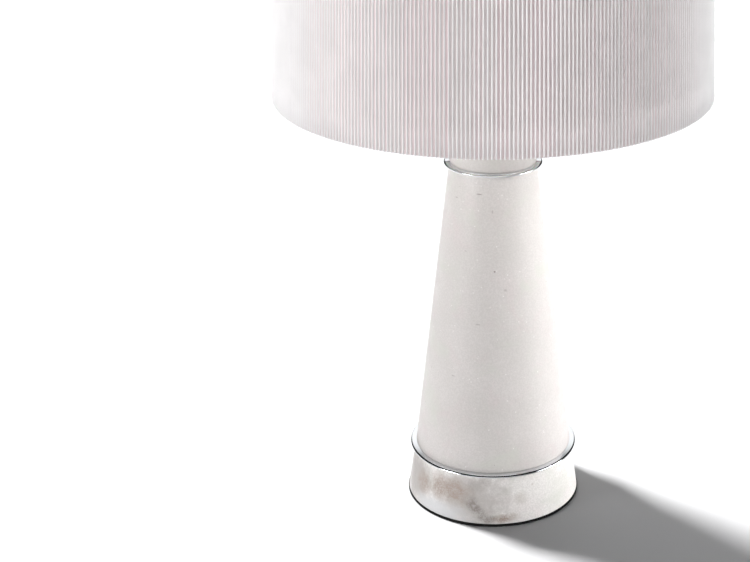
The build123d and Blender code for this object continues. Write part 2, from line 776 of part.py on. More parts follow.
top_ring_radius = shade_radius(top_ring_z + ring_wire_radius, ring_inward)
arm_z = hub_z + hub_thickness / 2
arm_start = stud_shoulder_radius + arm_wire_radius + 0.3
with BuildPart() as shade_carrier:
    with BuildSketch(Plane.XZ):
        with Locations((top_ring_radius, top_ring_z)):
            Circle(ring_wire_radius)
    revolve(axis=Axis.Z)
    with BuildLine():
        reach = FilletPolyline((arm_start, 0, arm_z), (top_ring_radius - arm_rise_length, 0, arm_z),
                               (top_ring_radius, 0, top_ring_z), radius=15)
    with BuildSketch(Plane(origin=reach @ 0, z_dir=reach % 0)):
        Circle(arm_wire_radius)
    arm = sweep(mode=Mode.PRIVATE)
    for index in range(arm_count):
        add(arm.rotate(Axis.Z, 90 + index * 360 / arm_count))
    with BuildSketch(Plane.XY.offset(hub_z)):
        Circle(hub_radius)
        Circle(stud_radius + 0.3, mode=Mode.SUBTRACT)
    extrude(amount=hub_thickness)
save(shade_carrier.part, "shade_carrier")

finial_z = hub_z + hub_thickness + rest_gap
with BuildPart() as finial:
    ball_z = finial_z + finial_height - finial_ball_radius
    join = math.acos(finial_neck_radius / finial_ball_radius)
    with BuildSketch(Plane.XZ):
        with BuildLine():
            foot = Polyline((0, finial_z), (finial_base_radius, finial_z),
                            (finial_base_radius, finial_z + finial_foot_height))
            waist = Spline(foot @ 1, (finial_neck_radius, ball_z - finial_ball_radius * math.sin(join)),
                           tangents=((-1, 0.3), (0, 1)))
            ThreePointArc(waist @ 1, (finial_ball_radius, ball_z), (0, ball_z + finial_ball_radius))
            Line((0, ball_z + finial_ball_radius), (0, finial_z))
        make_face()
    revolve(axis=Axis.Z)
    with BuildSketch(Plane.XY.offset(finial_z)):
        Circle(stud_radius + tube_play)
    extrude(amount=stud_length - hub_thickness, mode=Mode.SUBTRACT)
save(finial.part, "finial")

print("height", round(finial_z + finial_height, 1), "harp height", round(stud_seat_z - socket_z, 1))
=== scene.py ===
# %% [markdown]
# # A column table lamp, dressed
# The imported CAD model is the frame: every piece below sits in the same metres and on the same axes, with
# the front towards -Y. What shows most in the photograph is honed marble, two polished discs and a shade
# in very fine pleats, so those get the most care. The rest is small or hidden, but it is dressed as well,
# because the shade is open at both ends.

# %% Load the frame
import json
import math

import bmesh
import bpy
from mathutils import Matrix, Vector


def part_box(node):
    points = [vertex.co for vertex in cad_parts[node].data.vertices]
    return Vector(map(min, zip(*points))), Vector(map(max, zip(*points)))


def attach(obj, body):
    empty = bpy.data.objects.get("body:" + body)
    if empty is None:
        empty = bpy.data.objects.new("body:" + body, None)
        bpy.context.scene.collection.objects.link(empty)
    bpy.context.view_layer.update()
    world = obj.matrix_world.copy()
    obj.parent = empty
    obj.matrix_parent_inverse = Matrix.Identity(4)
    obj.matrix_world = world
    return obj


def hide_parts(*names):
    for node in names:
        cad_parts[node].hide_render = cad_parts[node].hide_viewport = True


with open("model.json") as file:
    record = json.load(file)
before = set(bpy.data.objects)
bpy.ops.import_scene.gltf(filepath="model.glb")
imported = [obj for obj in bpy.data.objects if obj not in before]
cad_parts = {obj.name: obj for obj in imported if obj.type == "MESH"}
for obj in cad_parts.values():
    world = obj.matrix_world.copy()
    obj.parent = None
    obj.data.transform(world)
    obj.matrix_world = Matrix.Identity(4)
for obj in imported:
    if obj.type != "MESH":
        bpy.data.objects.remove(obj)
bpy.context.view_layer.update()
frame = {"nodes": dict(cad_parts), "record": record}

MM = 0.001
cad = frame["nodes"]
home = {node: body for body, group in frame["record"]["behaviour"]["bodies"].items() for node in group}

# %% [markdown]
# ## Colours and nodes
# A colour is written as it looks on a screen, as sRGB hex, and one function turns it to linear light. One
# more function adds a node with its settings and links, and can hand back one of its outputs, so a pattern
# reads from the inside out. Patterns take their scale from a size in millimetres, because every material
# reads Object coordinates, which are in metres.


# %% Colour, node and material
def linear(code):
    """Linear RGBA of an sRGB hex colour."""
    parts = [int(code[i:i + 2], 16) / 255 for i in (1, 3, 5)]
    return [p / 12.92 if p <= 0.04045 else ((p + 0.055) / 1.055) ** 2.4 for p in parts] + [1.0]


def put(tree, kind, inputs=None, out=None, **settings):
    """Adds a node. An input is a number, a hex colour or another node's output; out names what it returns."""
    node = tree.nodes.new(kind)
    for name, value in settings.items():
        setattr(node, name, value)
    for key, value in (inputs or {}).items():
        if isinstance(value, bpy.types.NodeSocket):
            tree.links.new(value, node.inputs[key])
        else:
            is_colour = isinstance(value, str) and value.startswith("#")
            node.inputs[key].default_value = linear(value) if is_colour else value
    return node if out is None else node.outputs[out]


def per(size_mm):
    """Texture scale at which one feature is about that many millimetres."""
    return 1000 / size_mm


def material(name, **values):
    """A principled material; constant values go to the shader's own sockets."""
    made = bpy.data.materials.new(name)
    made.use_nodes = True
    shader = made.node_tree.nodes["Principled BSDF"]
    for key, value in values.items():
        socket = shader.inputs[key.replace("_", " ")]
        socket.default_value = linear(value) if isinstance(value, str) else value
    return made, made.node_tree, shader


print("white is", linear("#FFFFFF"), "and one feature of 5 mm has scale", per(5))

# %% [markdown]
# ## Patterns, coats and relief
# Nearly every surface here is built the same way, as a painter would: a ground colour, then thin coats of
# other colours, each let through by a pattern of soft blotches. The gloss varies by a pattern of its own,
# and a fine relief breaks up the highlights. So a few functions put these groups of nodes together. What
# was rolled, drawn or turned also has a grain that is longer one way than the other.


# %% Blotches, coats, grain and the finished surface
def blotches(tree, size_mm, low, high, least=0.0, most=1.0, vector=None, **noise):
    """Soft blotches of a size in millimetres: the noise from low to high is eased from least to most."""
    if vector is None:
        vector = put(tree, "ShaderNodeTexCoord", out="Object")
    field = put(tree, "ShaderNodeTexNoise", {"Vector": vector, "Scale": per(size_mm), "Detail": 3.0, **noise},
                out="Fac")
    return put(tree, "ShaderNodeMapRange", {"Value": field, "From Min": low, "From Max": high,
               "To Min": least, "To Max": most}, out="Result", interpolation_type="SMOOTHSTEP")


def coats(tree, ground, *layers):
    """Lays colours over a ground, each by a pattern that says how much of it shows."""
    # for colours, a Mix node has its factor at input 0, its colours at 6 and 7 and its result at output 2
    for shown, colour in layers:
        ground = put(tree, "ShaderNodeMix", {0: shown, 6: ground, 7: colour}, out=2, data_type="RGBA")
    return ground


def product(tree, first, *others):
    """The product of several patterns, so that each one lets the others show or hides them."""
    for other in others:
        first = put(tree, "ShaderNodeMath", {0: first, 1: other}, out=0, operation="MULTIPLY")
    return first


def drawn_grain(tree, sizes_mm, detail):
    """Noise with a size of its own along each axis, as rolling, drawing and turning leave it."""
    place = put(tree, "ShaderNodeTexCoord", out="Object")
    drawn = put(tree, "ShaderNodeMapping", {"Vector": place, "Scale": [per(size) for size in sizes_mm]},
                out="Vector")
    return put(tree, "ShaderNodeTexNoise", {"Vector": drawn, "Scale": 1.0, "Detail": detail}, out="Fac")


def surface(tree, shader, colour, gloss, height, strength, depth_mm):
    """Gives the shader its colour, gloss and relief; height is a pattern, or a grain in mm and its detail."""
    if isinstance(height, tuple):
        place = put(tree, "ShaderNodeTexCoord", out="Object")
        height = put(tree, "ShaderNodeTexNoise", {"Vector": place, "Scale": per(height[0]),
                     "Detail": height[1]}, out="Fac")
    relief = put(tree, "ShaderNodeBump", {"Height": height, "Strength": strength, "Distance": depth_mm * MM},
                 out="Normal")
    for name, source in (("Base Color", colour), ("Roughness", gloss), ("Normal", relief)):
        if source is not None:
            tree.links.new(source, shader.inputs[name])


print("ready: blotches, coats, products of patterns, drawn grain and the finished surface")

# %% [markdown]
# ## From a mesh to a piece
# Every piece takes its place from the CAD node that it stands for: it rides on the same body and gets its
# own material, and the node itself is hidden. Smooth shading hides the facets of a round surface, but a real
# edge has to stay crisp, so edges sharper than a limit are kept sharp. Bent and milled pieces keep the CAD
# shape. Their mesh is loose triangles, so a copy is welded before it is shaded.

# %% Shading, pieces and welded copies
# the sharpest edge that is still smoothed over, in degrees, by how a piece was made
MILLED, TURNED, PRESSED, WIRE, ROUND = 32, 30, 40, 50, 60
WELD = 0.004 * MM


def shade_smooth(mesh, limit_degrees):
    """Smooth faces, with the edges sharper than the limit kept sharp."""
    work = bmesh.new()
    work.from_mesh(mesh)
    for face in work.faces:
        face.smooth = True
    for edge in work.edges:
        sharp = len(edge.link_faces) == 2 and edge.calc_face_angle(0) > math.radians(limit_degrees)
        edge.smooth = not sharp
    work.to_mesh(mesh)
    work.free()


def piece(mesh, name, node, finish, smooth_limit=MILLED):
    """Puts a mesh in the scene in place of a CAD node, with a material; no limit leaves its shading alone."""
    made = bpy.data.objects.new(name, mesh)
    bpy.context.scene.collection.objects.link(made)
    if smooth_limit:
        shade_smooth(mesh, smooth_limit)
    mesh.materials.clear()
    mesh.materials.append(finish)
    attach(made, home[node])
    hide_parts(node)
    return made


def dress(node, finish, name, limit=MILLED):
    """A piece with the CAD node's own shape, from a welded copy of its mesh."""
    work = bmesh.new()
    work.from_mesh(cad[node].data)
    bmesh.ops.remove_doubles(work, verts=work.verts, dist=WELD)
    mesh = bpy.data.meshes.new(node)
    work.to_mesh(mesh)
    work.free()
    return piece(mesh, name, node, finish, limit)


print("milled edges sharper than", MILLED, "degrees stay sharp, turned ones above", TURNED)

# %% [markdown]
# ## Turned pieces
# The cone, the neck and the discs are turned, so they are lathed here from a profile of radius and
# height. That gives many more segments round than the CAD mesh has, and their reflections run smoothly.

# %% The lathe
LATHE_SEGMENTS = 192
SAME_HEIGHT = 1.0 * MM


def lathe(profile, segments=LATHE_SEGMENTS):
    """A closed turned mesh from a closed profile of (radius, height) in metres."""
    work = bmesh.new()
    rings = []
    for radius, height in profile:
        turn = [2 * math.pi * k / segments for k in range(segments)]
        rings.append([work.verts.new((radius * math.cos(t), radius * math.sin(t), height)) for t in turn])
    for low, high in zip(rings, rings[1:] + rings[:1]):
        for k in range(segments):
            work.faces.new([low[k], low[(k + 1) % segments], high[(k + 1) % segments], high[k]])
    bmesh.ops.recalc_face_normals(work, faces=work.faces)
    mesh = bpy.data.meshes.new("lathed")
    work.to_mesh(mesh)
    work.free()
    return mesh


def radius_at(node, height):
    """Largest radius among the CAD vertices of a node near one height."""
    near = [v.co for v in cad[node].data.vertices if abs(v.co.z - height) < SAME_HEIGHT]
    return max(math.hypot(co.x, co.y) for co in near)


cone_foot = radius_at("column_cone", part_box("column_cone")[0][2])
print("the foot of the cone has a radius of", round(cone_foot / MM, 1), "mm")

# %% [markdown]
# ## Honed marble
# White marble is a crystalline stone, sawn, turned and honed rather than polished: it has a soft, even
# sheen with no sharp reflections. Its ground is slightly rosy and cloudy, with cooler clouds here and
# there. Its crystals show as a fine salt of lighter and darker grains, and a few of them as bright flakes.
# Thin veins wander through it, and small dark specks of other minerals lie far apart. A marble of fine
# grain bends light at about 1.5 and, honed, has a roughness near 0.4.

# %% The tones of the stone
CONE_TONES = ("#CDC8C6", "#C7C3C0", "#CBC0C0")  # ground, clouds, rosy clouds
BASE_TONES = ("#E3E0DE", "#DDDAD7", "#E0D9D8")
MARBLE_DARK, MARBLE_COOL, MARBLE_FLAKE = "#B2AEAB", "#C2C4BB", "#F0EEEC"
VEIN_GREY, VEIN_BROWN, SPECK = "#A59D9B", "#B39F95", "#6E625E"
print("the ground of the cone, linear:", [round(part, 3) for part in linear(CONE_TONES[0])])

# %% [markdown]
# ## Stains and specks in their places
# On the base block a brown and grey stain runs round the front left, over three paler clouds, and the
# cone has a few specks that catch the eye. They are what makes this stone this stone, so each is a soft
# ragged patch with a centre and half widths in millimetres. The other patterns fall where they will.

# %% Where the stains and specks are
STAIN_GREY, STAIN_COOL, STAIN_TAN, STAIN_DARK = "#A19B97", "#CACBCD", "#9E8E84", "#6E645C"
# centre and half widths (mm), colour, amount
CLOUDS = (((-24, -74, 26), (48, 30, 36), STAIN_GREY, 0.72), ((-76, -28, 28), (30, 40, 34), STAIN_GREY, 0.85),
          ((-54, -62, 6), (46, 34, 15), STAIN_COOL, 0.75))
STAINS = (((-75, -24, 38), (9, 18, 16), STAIN_GREY, 0.8), ((-67, -43, 27), (15, 15, 14), STAIN_TAN, 1.0),
          ((-51, -60, 31), (16, 13, 16), STAIN_TAN, 1.0), ((-38, -68, 32), (15, 12, 15), STAIN_TAN, 1.0),
          ((-28, -74, 30), (12, 10, 13), STAIN_TAN, 0.9), ((-22, -77, 26), (10, 9, 9), STAIN_GREY, 0.9),
          ((-18, -78, 20), (9, 9, 8), STAIN_DARK, 0.7), ((-13, -80, 14), (9, 9, 7), STAIN_DARK, 0.6),
          ((-4, -82, 8), (13, 9, 5), STAIN_DARK, 0.75), ((9, -82, 8), (13, 9, 5), STAIN_TAN, 1.0),
          ((18, -80, 9), (10, 9, 5), STAIN_TAN, 0.6), ((-17, -76, 42), (12, 9, 9), STAIN_GREY, 0.8),
          ((-8, -76, 45), (8, 8, 6), STAIN_GREY, 0.6), ((27, -75, 27), (9, 7, 8), STAIN_TAN, 0.3),
          ((38, -69, 38), (2, 2, 1.6), STAIN_TAN, 0.7))
# centre and half widths (mm), amount
SPECKS = (((-33, -28.3, 314.2), (2.4, 2.4, 0.7), 0.5), ((-12.5, -40.7, 321.5), (3.2, 3.2, 0.8), 0.6),
          ((1.5, -51.3, 250), (1.2, 1.2, 1.0), 0.85), ((11.5, -52.2, 232), (2.0, 2.0, 1.6), 0.3),
          ((-14, -55.8, 199), (2.6, 2.6, 0.9), 0.35), ((-37.5, -52, 145), (2.2, 2.2, 0.8), 0.4),
          ((-0.5, -44.5, 306), (1.0, 1.0, 2.0), 0.35), ((-25, -42.4, 267), (1.8, 1.8, 0.8), 0.25))
CLOUD_RAG, STAIN_RAG, SPECK_RAG = 9.0, 7.0, 1.2  # size of the ragged edge, mm
RAG_DEPTH = 0.9  # in half widths, as the next two are
PATCH_EDGE, PATCH_CORE = 1.55, 0.75  # where a patch ends and where it is full, with the rag added


def patch(tree, centre_mm, size_mm, ragged_mm):
    """A soft ragged patch round a place on the stone: 1 inside, 0 outside."""
    place = put(tree, "ShaderNodeTexCoord", out="Object")
    moved = put(tree, "ShaderNodeMapping", {"Vector": place, "Scale": [per(s) for s in size_mm],
                "Location": [-c / s for c, s in zip(centre_mm, size_mm)]}, out="Vector")
    away = put(tree, "ShaderNodeVectorMath", {0: moved}, out="Value", operation="LENGTH")
    ragged = put(tree, "ShaderNodeTexNoise", {"Vector": place, "Scale": per(ragged_mm), "Detail": 4.0,
                 "Roughness": 0.6}, out="Fac")
    away = put(tree, "ShaderNodeMath", {0: ragged, 1: RAG_DEPTH, 2: away}, out=0, operation="MULTIPLY_ADD")
    return put(tree, "ShaderNodeMapRange", {"Value": away, "From Min": PATCH_EDGE, "From Max": PATCH_CORE},
               out="Result", interpolation_type="SMOOTHSTEP")


print("patches:", len(CLOUDS), "clouds,", len(STAINS), "stains,", len(SPECKS), "specks")

# %% [markdown]
# ## Veins and dots
# A vein is a crack that filled with another mineral, so it shows as a thin line that wanders. Where a
# distorted noise crosses its middle value, it draws just such a line. Flakes and specks are dots instead.
# A Voronoi pattern holds one point in each cell, and a dot is what lies close to it. A slow noise then
# lets dots and veins show only in some regions, because a pattern that shows everywhere looks printed.

# %% Wandering veins and sparse dots
VEIN_TURN = (0.3, 0.5, 0.2)
VEIN_REGION = 1.4  # size of the regions with veins, against the size of a vein's waves


def veins_through(tree, size_mm, width, strength, seed_mm):
    """Thin wandering lines: where a distorted noise crosses its middle."""
    place = put(tree, "ShaderNodeTexCoord", out="Object")
    moved = put(tree, "ShaderNodeMapping", {"Vector": place, "Location": [seed_mm * MM] * 3,
                "Rotation": VEIN_TURN}, out="Vector")
    field = put(tree, "ShaderNodeTexNoise", {"Vector": moved, "Scale": per(size_mm), "Detail": 5.0,
                "Roughness": 0.55, "Distortion": 0.6}, out="Fac")
    middle = put(tree, "ShaderNodeMath", {0: field, 1: 0.5}, out=0, operation="SUBTRACT")
    away = put(tree, "ShaderNodeMath", {0: middle}, out=0, operation="ABSOLUTE")
    line = put(tree, "ShaderNodeMapRange", {"Value": away, "From Min": width, "From Max": 0.0}, out="Result",
               interpolation_type="SMOOTHSTEP")
    region = blotches(tree, size_mm * VEIN_REGION, 0.48, 0.68, vector=moved, Detail=2.0)
    return product(tree, line, region, strength)


def dots(tree, spacing_mm, edge, core, region, strength):
    """Small dots, at most one in each cell of that spacing; edge and core are shares of the spacing."""
    place = put(tree, "ShaderNodeTexCoord", out="Object")
    cell = put(tree, "ShaderNodeTexVoronoi", {"Vector": place, "Scale": per(spacing_mm)}, out="Distance")
    dot = put(tree, "ShaderNodeMapRange", {"Value": cell, "From Min": edge, "From Max": core}, out="Result",
              interpolation_type="SMOOTHSTEP")
    return product(tree, dot, region, strength)


print("veins turn by", VEIN_TURN, "radians against the block")

# %% [markdown]
# ## The marble itself
# Now the coats go on in the order that the eye finds them: ground and clouds, the salt of crystals,
# flakes, veins, stains, specks. The cone and the neck have hardly any veins and no stains, and the base
# is whiter between its stains. A seed moves the veins, so they don't run on from block to block.

# %% Marble for the three blocks
# size of the waves (mm), width of the lines, share of the strength, times the seed, colour
VEIN_KINDS = ((90, 0.016, 1.0, 1, VEIN_GREY), (38, 0.012, 0.6, 2, VEIN_BROWN))


def marble(name, seed_mm, veins, tones, clouds=(), stains=(), specks=()):
    """Honed marble; veins says how strong they are, the rest lies at its own places."""
    made, tree, shader = material(name, IOR=1.5)
    ground, cloud, rosy = tones
    ground = coats(tree, ground, (blotches(tree, 55, 0.35, 0.7, Detail=6.0, Roughness=0.6), cloud),
                   (blotches(tree, 30, 0.5, 0.75, 0, 0.7, Detail=5.0, Roughness=0.6, Distortion=0.8), rosy))
    # crystals are about 1.6 mm; the darker ones are the ground, dimmed
    salt = blotches(tree, 1.6, 0.4, 0.62, Roughness=0.7)
    ground = coats(tree, coats(tree, ground, (0.35, MARBLE_DARK)), (salt, ground))
    cool = blotches(tree, 42, 0.52, 0.72, 0, 0.55, Detail=4.0, Roughness=0.55, Distortion=0.6)
    flakes = dots(tree, 6, 0.14, 0.06, blotches(tree, 22, 0.48, 0.56), 0.5)
    ground = coats(tree, ground, (cool, MARBLE_COOL), (flakes, MARBLE_FLAKE))
    for size_mm, width, share, times, colour in VEIN_KINDS:
        lines = veins_through(tree, size_mm, width, veins * share, seed_mm * times)
        ground = coats(tree, ground, (lines, colour))
    for centre, size, colour, amount in clouds:
        ground = coats(tree, ground, (product(tree, patch(tree, centre, size, CLOUD_RAG), amount), colour))
    if stains:
        # a stain follows the crystals, so it is mottled in two sizes
        mottle = product(tree, blotches(tree, 6, 0.34, 0.56, 0.3, 1, Detail=8.0, Roughness=0.8),
                         blotches(tree, 1.4, 0.36, 0.6, 0.45, 1, Detail=4.0, Roughness=0.75))
    for centre, size, colour, amount in stains:
        shown = product(tree, patch(tree, centre, size, STAIN_RAG), mottle, amount)
        ground = coats(tree, ground, (shown, colour))
    for centre, size, amount in specks:
        ground = coats(tree, ground, (product(tree, patch(tree, centre, size, SPECK_RAG), amount), SPECK))
    # mineral specks about half a millimetre across, far apart
    far_specks = dots(tree, 9, 0.06, 0.03, blotches(tree, 40, 0.55, 0.62), 0.7)
    # honing leaves a fine even grain, with the odd duller place
    surface(tree, shader, coats(tree, ground, (far_specks, SPECK)),
            blotches(tree, 12, 0.3, 0.7, 0.36, 0.5, Detail=4.0), (0.8, 4.0), 0.06, 0.15)
    return made


column_stone = marble("honed_marble_cone", 11, 0.06, CONE_TONES, specks=SPECKS)
neck_stone = marble("honed_marble_neck", 57, 0.06, CONE_TONES)
base_stone = marble("honed_marble_base", 131, 0.25, BASE_TONES, CLOUDS, STAINS)
print("marble nodes in the base:", len(base_stone.node_tree.nodes))

# %% [markdown]
# ## Turning the stone
# The cone and the neck are plain turned blocks with eased edges. Their profiles are read from the frame,
# so they can't drift from the CAD. The base keeps its CAD shape, because the hole for the cord and the
# cavity below aren't turned.

# %% Column blocks
EASED_EDGE = 0.6 * MM
STONE_BORE = 8.0 * MM  # radius
EDGE_STEPS = 4


def eased(corners, sizes, steps=EDGE_STEPS):
    """A closed profile, with each corner that has a size made a short curve of a few points."""
    out = []
    for i, corner in enumerate(corners):
        here = Vector(corner)
        if sizes[i] <= 0:
            out.append(tuple(here))
            continue
        start = here + (Vector(corners[i - 1]) - here).normalized() * sizes[i]
        end = here + (Vector(corners[(i + 1) % len(corners)]) - here).normalized() * sizes[i]
        for k in range(steps + 1):
            t = k / steps
            out.append(tuple(start * (1 - t) ** 2 + here * 2 * t * (1 - t) + end * t ** 2))
    return out


def stone_profile(node):
    """Profile of a cone with eased edges, between the CAD node's own radii and heights."""
    low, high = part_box(node)
    tall = high[2] - low[2]
    slope = (radius_at(node, low[2]) - radius_at(node, high[2])) / tall
    # the eased edge takes its own width off the corner, so the cone is drawn back out to the sharp corner
    bottom, top = high[0] + slope * EASED_EDGE, high[0] - slope * (tall - EASED_EDGE)
    corners = [(STONE_BORE, low[2]), (bottom, low[2]), (top, high[2]), (STONE_BORE, high[2])]
    return eased(corners, [0, EASED_EDGE, EASED_EDGE, 0])


blocks = {node: piece(lathe(stone_profile(node)), "turned_" + node, node, stone)
          for node, stone in (("column_cone", column_stone), ("neck_block", neck_stone))}
blocks["base_block"] = dress("base_block", base_stone, "turned_base_block")
print("stone blocks:", sorted(blocks))

# %% [markdown]
# ## Polished discs
# Two thin chromed discs lie between the stone blocks. They are turned and plated to a mirror, and a mirror
# needs almost no colour of its own: what it shows is the room, broken only by very fine polishing lines.
# The round edge collects the whole room into a bright and a dark line. Its upper half is eased, so that it
# leans back a little, which puts the dark line above the bright one as in the photograph.

# %% Chrome and the two discs
DISC_BORE = 5.2 * MM  # radius
DISC_SEGMENTS, DISC_STEPS = 256, 12
DISC_FULLNESS = 1.3  # 2 is a half round, 1 a straight chamfer


def metal(name, colour, rough, grain_mm, uneven=0.04):
    """A bare or plated metal with a faint drawn grain and a slightly uneven gloss."""
    made, tree, shader = material(name, Base_Color=colour, Metallic=1.0)
    gloss = blotches(tree, 18, 0.35, 0.7, rough, rough + uneven, Detail=4.0)
    # a duller metal was polished less, so its grain stands out more
    surface(tree, shader, None, gloss, drawn_grain(tree, grain_mm, 2.0), 0.03 + rough * 0.1, 0.02)
    return made


def disc_profile(node):
    """A flat disc with a rounded edge, whose upper half is eased."""
    low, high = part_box(node)
    half = (high[2] - low[2]) / 2
    middle, reach = low[2] + half, high[0] - half
    edge = []
    for k in range(2 * DISC_STEPS + 1):
        turn = math.pi * (k / (2 * DISC_STEPS) - 0.5)
        power = 1.0 if turn <= 0 else 2 / DISC_FULLNESS
        edge.append((reach + half * math.cos(turn) ** power,
                     middle + math.copysign(half * abs(math.sin(turn)) ** power, turn)))
    return [(DISC_BORE, low[2])] + edge + [(DISC_BORE, high[2])]


chrome = metal("polished_chrome", "#DFE1E4", 0.015, (6, 6, 2), 0.02)
for node in ("lower_ring", "upper_ring"):
    made = piece(lathe(disc_profile(node), DISC_SEGMENTS), "polished_" + node, node, chrome, ROUND)
    print(made.name, round(made.dimensions.x / MM, 1), "mm across")

# %% [markdown]
# ## Pleated shade
# The cover is a light satin, pressed into hundreds of narrow pleats and stretched over a stiff liner. Each
# pleat shows a bright flat ridge and a wider, darker recess, and all lean to one side, as knife-pressed
# pleats do. The shape follows a rule all the way round, so Geometry Nodes make it: a flat grid is wrapped
# into a slightly tapering drum, a curve gives the pleat's section, and slow noise moves the pleats a
# little sideways, as hand-set pleats are.

# %% The sizes of the cover
PLEATS, SAMPLES, ROWS = 356, 10, 10
PLEAT_DEPTH = 2.6 * MM
CLOTH = 0.35 * MM
WANDER = 0.6 * MM
# across one pleat, and the height there as a share of the depth: the recess, then the ridge
PLEAT_SECTION = ((0.0, 0.28), (0.56, 0.0), (0.64, 0.75), (0.71, 1.0), (0.84, 0.92), (0.91, 0.75), (1.0, 0.28))
DRIFT_WAVES, SWELL_WAVES = 26.0, 9.0  # waves of the noise to one radius of the drum
HAIR = 0.001  # is added to a pleat's count, so that rounding can't drop a grid line into the pleat before
PLEAT_SEED = 7
low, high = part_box("pleated_cover")
rim_radius, top_radius = high[0], radius_at("pleated_cover", high[2])
cover_height = high[2] - low[2]
print("cover: radius", round(rim_radius / MM, 1), "at the rim,", round(top_radius / MM, 1), "mm at the top")

# %% [markdown]
# ## A tree of nodes from a list of sums
# Wrapping a grid into a drum takes nearly thirty small sums. As nodes they are hard to read, so they are
# kept as rows instead: the name of the result, the operation, and what goes in by name or as a number.
# One function goes down the rows and adds a Math node for each.


# %% Sums as rows
def reckon(tree, known, *rows):
    """Works out each row's sum as a node, and keeps its result under the row's name."""
    for name, operation, *values in rows:
        given = {i: known[value] if isinstance(value, str) else value for i, value in enumerate(values)}
        known[name] = put(tree, "ShaderNodeMath", given, out=0, operation=operation)


SIZE_ROWS = (("columns", "MULTIPLY_ADD", "Pleats", "Samples", 1.0), ("rows", "ADD", "Rows", 1.0))
PLACE_ROWS = (("around", "ADD", "x", 0.5), ("up", "ADD", "y", 0.5), ("count", "MULTIPLY", "around", "Pleats"),
              ("spot", "ADD", "count", HAIR), ("phase", "FRACT", "spot"), ("number", "FLOOR", "spot"),
              ("angle", "MULTIPLY", "around", 2 * math.pi), ("noise x", "COSINE", "angle"),
              ("noise y", "SINE", "angle"), ("noise z", "MULTIPLY", "up", 0.5))
WRAP_ROWS = (("aside", "SUBTRACT", "drift", 0.5), ("sway", "MULTIPLY", "aside", "Wander"),
             ("sway angle", "DIVIDE", "sway", "outside"), ("turn", "ADD", "angle", "sway angle"),
             ("below", "SUBTRACT", 1.0, "ridge"), ("sink", "MULTIPLY", "below", "Depth"),
             ("slack", "MULTIPLY", "swell", "ridge"), ("relax", "MULTIPLY", "slack", "Wander"),
             ("sunk", "SUBTRACT", "outside", "sink"), ("radius", "SUBTRACT", "sunk", "relax"),
             ("cosine", "COSINE", "turn"), ("sine", "SINE", "turn"), ("to x", "MULTIPLY", "radius", "cosine"),
             ("to y", "MULTIPLY", "radius", "sine"), ("to z", "MULTIPLY_ADD", "up", "Height", "Rim Height"))
print("sums:", len(SIZE_ROWS + PLACE_ROWS + WRAP_ROWS))

# %% [markdown]
# ## The pleat tree
# The tree has named inputs for its sizes. The noise is read on the drum itself, so it closes at the seam,
# and points that meet there are merged. Two attributes go with the mesh for the satin: how high a point
# stands on its pleat, and one random tone for each pleat.

# %% Pleats in Geometry Nodes
PLEAT_INPUTS = (("Pleats", "Int", PLEATS), ("Samples", "Int", SAMPLES), ("Rows", "Int", ROWS),
                ("Rim Radius", "Float", rim_radius), ("Top Radius", "Float", top_radius),
                ("Rim Height", "Float", low[2]), ("Height", "Float", cover_height),
                ("Depth", "Float", PLEAT_DEPTH), ("Wander", "Float", WANDER), ("Material", "Material", None))
SEAM_GAP = 0.02 * MM


def pleat_section(tree, phase):
    """The height of a pleat across its width, as a curve with straight runs."""
    section = put(tree, "ShaderNodeFloatCurve", {"Value": phase})
    points = section.mapping.curves[0].points
    points[0].location, points[1].location = PLEAT_SECTION[0], PLEAT_SECTION[-1]
    for spot in PLEAT_SECTION[1:-1]:
        points.new(*spot)
    for point in points:
        point.handle_type = "VECTOR"
    section.mapping.update()
    return section.outputs[0]


